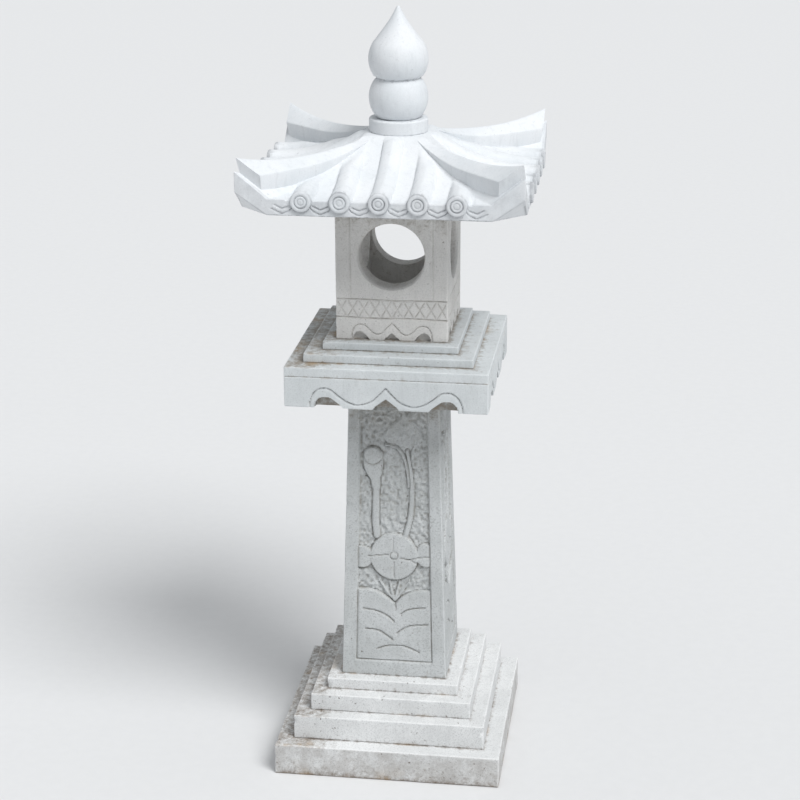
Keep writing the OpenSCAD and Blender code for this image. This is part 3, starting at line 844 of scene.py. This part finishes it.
def light_box_stone():
    """The hollow box, with a window through each wall, open under the roof."""
    carved = BAND_Z[1] + 3
    up = np.unique(np.concatenate([spread(carved, 1.35), carved + spread(BOX_Z1 - BOX_Z0 - carved, 5)]))
    block = Block(BOX_Z0, BOX_Z1, (BOX_HALF, BOX_HALF), spread(2 * BOX_HALF, 1.7), up,
                  rims=(0.5, 1.1, 1.8, 2.8, 4.2, 6, 7.5, 8.5, 14, 26, 60))
    block.wear(1.8, 150).chip(10, 151, 5).undulate(0.25, 30, 152).carve(box_depth)
    obj = block.make("light_box")
    hollow_half = BOX_HALF - WALL
    hollow = Block(BOX_Z0 + FLOOR, HOLLOW_TOP, (hollow_half, hollow_half), spread(2 * hollow_half, 8),
                   spread(HOLLOW_TOP - BOX_Z0 - FLOOR, 8)).undulate(0.9, 22, 153)
    cutters = [hollow.make("hollow"), window_cutter("window_a", False), window_cutter("window_b", True),
               cylinder("hole", DOWEL_HOLE_R, BOX_Z0 - PAST, PDOWEL_Z1 + SLACK)]
    joined(obj, cutters, "DIFFERENCE")

    def grime_and_shade(p):
        # Painted shade under the roof's overhang darkens the upper box, which also carries a brown stain
        # there. The foot is darker at its joint, and the inside of the hollow gets painted shade.
        top = 0.95 * np.exp(-np.clip(BOX_Z1 - p[:, 2], 0, None) / 45)
        foot = 0.45 * np.exp(-np.clip(p[:, 2] - BOX_Z0, 0, None) / 4)
        inside = np.maximum(np.abs(p[:, 0]), np.abs(p[:, 1])) < BOX_HALF - 4
        return top + foot + 0.2 * inside * (p[:, 2] > BOX_Z0 + 20)

    lines = block.hollows(1.8)

    def painted_shade(p):
        # Painted shade in the carved lines, inside the hollow and under the roof's overhang.
        sunk = BOX_HALF - np.maximum(np.abs(p[:, 0]), np.abs(p[:, 1]))
        inside = (sunk > 5) * (p[:, 2] > BOX_Z0 + 20) * 0.18
        return lines(p) * (sunk < 4) + inside + 0.8 * np.exp(-np.clip(BOX_Z1 - p[:, 2], 0, None) / 42)
    stone_piece(obj, "light_box", "light_box", "box_stone", grime_and_shade, painted_shade,
                arris_of((BOX_HALF, BOX_HALF), BOX_Z0, BOX_Z1))


# ---- roof
EAVE_T = 30
PAN_RISE = 106
PLATEAU_HALF = COLLAR_R + 2
SWEEP = 59
CORNER_LIFT = 41
CORNER_TOP = 79
RIB_PITCH = 70.5
RIB_R = 19.4
LAST_RIB = 2
TILE_Z = 27
RIDGE_START_X = 50
RIDGE_CREST_Z = 87
RIDGE_SIDE_Z = 71.5
RIDGE_FOOT_W = 15
RIDGE_FLARE = 16
RIDGE_LOW_X = 165


def pan_height(t):
    """Height of the slope between the ribs, at a distance t from the axis."""
    return EAVE_T + (PAN_RISE - EAVE_T) * np.clip((EAVE_HALF - t) / (EAVE_HALF - PLATEAU_HALF), 0, 1) ** 2


def corner_share(along, t):
    """From 0 where the eave starts to sweep up, to 1 at the corner, for a place on the fan."""
    return np.clip((np.abs(along) / t * EAVE_HALF - (EAVE_HALF - SWEEP)) / SWEEP, 0, 1)


def roof_top(along, t):
    """Height of the tiled slope at a distance t from the axis: pan, ribs and swept-up corners."""
    lift_from, rib_foot, rib_growth, sag_depth = 128, 9.5, 7.5, 2.4
    fade = np.clip((t - lift_from) / (EAVE_HALF - lift_from), 0, 1) ** 1.5
    share = corner_share(along, t)
    height = pan_height(t) + (CORNER_TOP - EAVE_T) * share * fade
    high = rib_foot + rib_growth * (t / EAVE_HALF) ** 1.5
    ribs = np.zeros(len(along))
    for i in range(-LAST_RIB, LAST_RIB + 1):
        off = np.abs(along - i * RIB_PITCH) / RIB_R
        ribs = np.maximum(ribs, high * np.sqrt(np.clip(1 - off**2, 0, 1)) ** 0.9)
    middle = np.abs((along / RIB_PITCH) % 1 - 0.5) * 2
    sag = sag_depth * (1 - middle**2) * (np.abs(along) < (LAST_RIB + 0.4) * RIB_PITCH)
    near_ridge = ramp(t - np.abs(along), 20, 72)
    near_finial = ramp(t, PLATEAU_HALF - 4, PLATEAU_HALF + 22)
    return height + (ribs - sag) * near_finial * near_ridge


def chevrons(x, up):
    """Depth of the pairs of V-cuts between the tile ends."""
    cut = np.zeros(len(x))
    for i in np.arange(-LAST_RIB - 0.5, LAST_RIB + 1):
        mid = i * RIB_PITCH
        for half, low, rise in ((13, 13.5, 6), (19, 4.0, 9)):
            arm = np.array([(mid - half, low + rise), (mid - 1, low),
                            (mid + 1, low), (mid + half, low + rise)])
            cut = np.maximum(cut, groove(line_distance(x, up, arm), 3.2, 2.4))
    return cut


def roof_shell():
    """The roof without its ridges and tile ends, as rings that fan out from the axis."""
    across = spread(2 * EAVE_HALF, 2.9)
    fascia = spread(EAVE_T, 1.5)
    block = Block(0, EAVE_T, (EAVE_HALF, EAVE_HALF), across, fascia,
                  rims=(0.6, 1.4, 2.6, 4, 6, *range(9, 200, 4), 204, 210, 216, 230))
    block.wear(1.3, 170)
    top = (block.rim > 0) & (block.flat[:, 2] > EAVE_T / 2)
    bottom = (block.rim > 0) & ~top
    face = block.rim == 0
    t = np.maximum(np.abs(block.flat[:, 0]), np.abs(block.flat[:, 1]))
    t = np.clip(t, 20, None)
    lift = np.zeros(len(t))
    lift[top] = roof_top(block.along[top], t[top]) - EAVE_T
    across_corner = np.abs(block.flat[:, 0]) + np.abs(block.flat[:, 1])
    lift[bottom] = CORNER_LIFT * np.clip((across_corner[bottom] - 2 * EAVE_HALF + SWEEP) / SWEEP, 0, 1)
    share = corner_share(block.along, t)
    up = block.flat[:, 2] / EAVE_T
    edge_top = roof_top(block.along, np.full(len(t), EAVE_HALF - 0.01)) - EAVE_T
    lift[face] = (share * CORNER_LIFT * (1 - up) + np.clip(edge_top, -2, None) * up)[face]
    block.points[:, 2] += lift
    cut = chevrons(block.along, block.flat[:, 2]) * face
    block.points += block.inward * cut[:, None]
    block.points[-1, 2] = PAN_RISE
    block.points[:, 2] += ROOF_Z
    return block.make("roof")


def ridge_crest(t):
    """Height of a ridge's middle line: it falls from the collar, then turns up to a beak."""
    top_x, top_rise, beak_rise = 42, 19, 18
    dip = np.clip((RIDGE_LOW_X - t) / (RIDGE_LOW_X - top_x), 0, None)
    beak = np.clip((t - RIDGE_LOW_X) / (EAVE_HALF - RIDGE_LOW_X), 0, None)
    return RIDGE_CREST_Z + top_rise * dip**2 + beak_rise * beak**2


def ridge_edge(t):
    """Height of the upper edge of a ridge's sides."""
    rise = np.clip((RIDGE_LOW_X - t) / 70, 0, None)
    return np.minimum(ridge_crest(t) - 1.5, RIDGE_SIDE_Z + 12 * rise**2)


def hip_ridge(quarter):
    """A gabled bar along one hip. Its end is cut square with both eaves, and leans in underneath."""
    offs = np.array([-1, -0.97, -0.9, -0.7, -0.45, -0.2, -0.06, 0, 0.06, 0.2, 0.45, 0.7, 0.9, 0.97, 1])
    stations = np.linspace(0, 1, 60)
    start = RIDGE_START_X * math.sqrt(2)
    layers = []
    for is_top, end_gap, narrow in ((True, 3.5, 1.0), (False, 10, 0.86)):
        grid = []
        for s in stations:
            width = RIDGE_FOOT_W + RIDGE_FLARE * s
            o = offs * width * narrow
            u = start + s * (math.sqrt(2) * (EAVE_HALF - end_gap) - np.abs(o) - start)
            x, y = (u + o) / math.sqrt(2), (u - o) / math.sqrt(2)
            t = u / math.sqrt(2)
            if is_top:
                slope = np.abs(offs) ** 1.15
                z = ridge_crest(t) * (1 - slope) + ridge_edge(t) * slope
                z -= np.where(np.abs(offs) > 0.99, 1.2, 0) + np.where(np.abs(offs) < 0.03, 0.5, 0)
            else:
                reach = np.maximum(x, y)
                z = roof_top(np.minimum(x, y), reach) - 3.5
            grid.append(np.stack([x, y, z + ROOF_Z], 1))
        layers.append(np.array(grid))
    top, low = layers
    n, m = len(stations), len(offs)
    points = np.vstack([top.reshape(-1, 3), low.reshape(-1, 3)])
    for _ in range(quarter):
        points = points[:, [1, 0, 2]] * [-1, 1, 1]
    faces = []
    base = n * m
    for i in range(n - 1):
        for j in range(m - 1):
            a = i * m + j
            faces.append((a, a + 1, a + m + 1, a + m))
            faces.append((base + a, base + a + m, base + a + m + 1, base + a + 1))
        a, b = i * m, i * m + m - 1
        faces.append((a, a + m, base + a + m, base + a))
        faces.append((b, base + b, base + b + m, b + m))
    last = (n - 1) * m
    for j in range(m - 1):
        faces.append((j, base + j, base + j + 1, j + 1))
        faces.append((last + j, last + j + 1, base + last + j + 1, base + last + j))
    return mesh_object("ridge", points, faces)


def tile_end(name, place, quarter):
    """A round tile end: a raised rim, a ring and a domed boss."""
    rim, low = TILE_PROUD, TILE_PROUD - 2.2
    profile = [(1, -22), (RIB_R - 0.2, -22), (RIB_R, 0), (RIB_R, rim - 2.4), (RIB_R - 0.8, rim - 1.0),
               (RIB_R - 2.0, rim - 0.3), (16.0, rim), (13.4, rim), (12.4, rim - 0.6), (11.8, low),
               (10.9, low), (10.2, rim - 0.6), (9.2, rim), (7.0, rim), (6.3, rim - 0.5),
               (5.7, rim - 0.9), (5.1, rim - 0.5), (4.2, rim - 0.1), (1, rim)]
    obj = lathe(name, profile, (place, ROOF_Z + TILE_Z), axis="y", segments=56)
    obj.data.transform(Matrix.Translation((0, -EAVE_HALF * MM, 0)))
    obj.data.transform(Matrix.Rotation(math.radians(90 * quarter), 4, "Z"))
    return obj


def roof_stone():
    """The roof, welded from its shell, ridges, tile ends and spigot."""
    roof = roof_shell()
    parts = [hip_ridge(q) for q in range(SIDES)]
    ribs = range(-LAST_RIB, LAST_RIB + 1)
    parts += [tile_end("tile", i * RIB_PITCH, q) for q in range(SIDES) for i in ribs]
    spigot_top = ROOF_Z + 6
    spigot = Block(ROOF_LOW_Z, spigot_top, (SPIGOT_HALF, SPIGOT_HALF), spread(2 * SPIGOT_HALF, 10),
                   spread(spigot_top - ROOF_LOW_Z, 5)).wear(1.2, 190)
    parts.append(spigot.make("spigot"))
    joined(roof, parts, "UNION")
    joined(roof, [cylinder("hole", DOWEL_HOLE_R, FDOWEL_Z0 - SLACK, ROOF_Z + PAN_RISE + 20)], "DIFFERENCE")

    def grime_and_shade(p):
        # Painted shade on the roof's underside, and a dark ring round the collar's foot on top.
        under = (p[:, 2] < ROOF_Z + 2) * 0.6
        collar = 0.35 * np.exp(-np.clip(np.hypot(p[:, 0], p[:, 1]) - COLLAR_R, 0, None) / 6)
        return under + collar * (p[:, 2] > ROOF_Z + 80)

    def painted_shade(p):
        # Painted shade in the fascia's V-cuts and tile-end rings, and over the whole fascia, which faces
        # away from the top light.
        reach = np.maximum(np.abs(p[:, 0]), np.abs(p[:, 1]))
        sunk = EAVE_HALF - reach
        cuts = ramp(sunk, 0.5, 1.8) * (sunk < 3) * (p[:, 2] < ROOF_Z + 26) * (p[:, 2] > ROOF_Z + 2) * 0.6
        along = np.minimum(np.abs(p[:, 0]), np.abs(p[:, 1]))
        nearest = np.clip(np.round(along / RIB_PITCH), 0, LAST_RIB) * RIB_PITCH
        r = np.hypot(along - nearest, p[:, 2] - ROOF_Z - TILE_Z)
        rings = sum(np.clip(1.5 - np.abs(r - at), 0, 1) for at in (19.6, 11.4))
        rings += 0.35 * np.clip(1.3 - np.abs(r - 5.7), 0, 1)
        face = 0.34 * (reach > EAVE_HALF - 4) * (p[:, 2] < ROOF_Z + CORNER_TOP - 2)
        return cuts + rings * (reach > EAVE_HALF - 1) + face
    stone_piece(roof, "roof", "roof", "roof_stone", grime_and_shade, painted_shade, sharp=38)


# ---- finial
def arc(centre, radius, start, end, count):
    """Points on a circle, between two angles in degrees."""
    turn = np.radians(np.linspace(start, end, count))
    return [(centre[0] + radius * math.cos(a), centre[1] + radius * math.sin(a)) for a in turn]


def finial_stones():
    """The collar, and the jewel: a ball that carries a pointed bud."""
    r, z0, z1 = COLLAR_R, COLLAR_Z0, COLLAR_Z1
    round_r = 3.2
    profile = [(1, z0), (r * 0.5, z0), (r - 1.4, z0), (r - 0.4, z0 + 0.5), (r, z0 + 1.4)]
    profile += [(r, z) for z in np.linspace(z0 + 3, z1 - 4, 8)]
    profile += arc((r - round_r, z1 - round_r), round_r, 6, 84, 6)
    profile += [(r - 6, z1), (r * 0.7, z1), (r * 0.4, z1), (1, z1)]
    collar = lathe("finial_collar", profile)
    joined(collar, [cylinder("hole", DOWEL_HOLE_R, z0 - PAST, z1 + PAST)], "DIFFERENCE")
    stone_piece(collar, "finial_collar", "finial", "roof_stone",
                lambda p: 0.35 * np.exp(-(p[:, 2] - z0) / 2.5) + 0.3 * (p[:, 2] > z1 - 0.5))
    ball_r, ball_z = 56, JEWEL_Z0 + 38.5
    bud_r, bud_z = 56.4, JEWEL_Z0 + 110.5
    neck = smooth_line([(46.5, ball_z + 31), (42.3, ball_z + 35.8), (42.6, ball_z + 38),
                        (46.6, bud_z - 31)], 6)
    tip = smooth_line([(46.0, bud_z + 32.5), (36.5, bud_z + 45), (25, bud_z + 60), (16, bud_z + 73),
                       (9.5, bud_z + 84), (5.2, bud_z + 92.5), (2.4, JEWEL_Z1 - 1.2),
                       (0.6, JEWEL_Z1 - 0.1)], 6)
    profile = [(1, JEWEL_Z0), (30, JEWEL_Z0), (39.6, JEWEL_Z0 + 0.2), (40.6, JEWEL_Z0 + 1.2)]
    profile += arc((0, ball_z), ball_r, -41, 33, 34) + [tuple(p) for p in neck[1:-1]]
    profile += arc((0, bud_z), bud_r, -33, 35, 32) + [tuple(p) for p in tip[1:]]
    jewel = lathe("finial_jewel", profile, segments=128)
    joined(jewel, [cylinder("hole", DOWEL_HOLE_R, JEWEL_Z0 - PAST, FDOWEL_Z1 + SLACK)], "DIFFERENCE")

    def grime_and_shade(p):
        seat = 0.5 * np.exp(-np.clip(p[:, 2] - JEWEL_Z0, 0, None) / 3)
        return seat + 0.5 * np.exp(-((p[:, 2] - ball_z - 37) / 3.5) ** 2)
    stone_piece(jewel, "finial_jewel", "finial", "roof_stone", grime_and_shade)


def dowels():
    """The steel dowels keep their CAD shape and take the bar's finish."""
    for node in ("base_dowels", "platform_dowel", "finial_dowel"):
        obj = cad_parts[node]
        obj.data.materials.clear()
        obj.data.materials.append(MATERIALS["dowel_steel"])


# ---- stage
def floor_material():
    """Pale, even studio floor."""
    n = Nodes("studio_floor")
    tone = n.mix(n.span(n.noise(40, 2), 0.3, 0.7), (0.715, 0.72, 0.725), (0.725, 0.73, 0.735))
    n.link(tone, n.shader, "Base Color")
    n.shader.inputs["Roughness"].default_value = 0.9
    return n.material


LAMPS = (
    ("key", (0.46, -0.43, 0.78), 30, 2.5),
    ("top", (-0.2, -0.1, 0.97), 80, 0.6),
)
SKY_STRENGTH = 0.34
FLOOR_SIZE = 120


def stage():
    """A pale floor under soft light, stronger from above and a little from the right."""
    bpy.ops.mesh.primitive_plane_add(size=FLOOR_SIZE)
    floor = bpy.context.object
    floor.name = "studio_floor"
    floor.data.materials.append(floor_material())
    floor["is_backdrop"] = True
    world = bpy.data.worlds.new("studio")
    bpy.context.scene.world = world
    world.use_nodes = True
    sky = world.node_tree.nodes["Background"]
    sky.inputs["Color"].default_value = (0.93, 0.965, 1.0, 1)
    sky.inputs["Strength"].default_value = SKY_STRENGTH
    for name, toward, softness, power in LAMPS:
        data = bpy.data.lights.new(name, "SUN")
        data.angle, data.energy = math.radians(softness), power
        lamp = bpy.data.objects.new(name, data)
        lamp.rotation_euler = (-Vector(toward)).to_track_quat("-Z", "Y").to_euler()
        bpy.context.scene.collection.objects.link(lamp)


def camera():
    """The long lens looks down a little, from the right of the front face."""
    azimuth, elevation, tilt = math.radians(8.09), math.radians(19.36), math.radians(-0.27)
    target, distance = Vector((0, 0, 0.7258)), 3.999
    back = Vector((math.sin(azimuth) * math.cos(elevation), -math.cos(azimuth) * math.cos(elevation),
                   math.sin(elevation)))
    data = bpy.data.cameras.new("camera")
    data.lens, data.sensor_width = 90.92, 36
    obj = bpy.data.objects.new("camera", data)
    obj.rotation_mode = "QUATERNION"
    obj.location = target + back * distance
    obj.rotation_quaternion = (-back).to_track_quat("-Z", "Y") @ Quaternion((0, 0, 1), tilt)
    bpy.context.scene.collection.objects.link(obj)
    bpy.context.scene.camera = obj


bpy.context.scene.view_settings.view_transform = "Standard"
camera()
base_stones()
post_stone()
platform_stones()
light_box_stone()
roof_stone()
finial_stones()
dowels()
stage()

VISUAL_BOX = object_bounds()
boxes = {"cad": CAD_BOX, "visual": VISUAL_BOX}
{key: [list(corner) for corner in box] for key, box in boxes.items()}
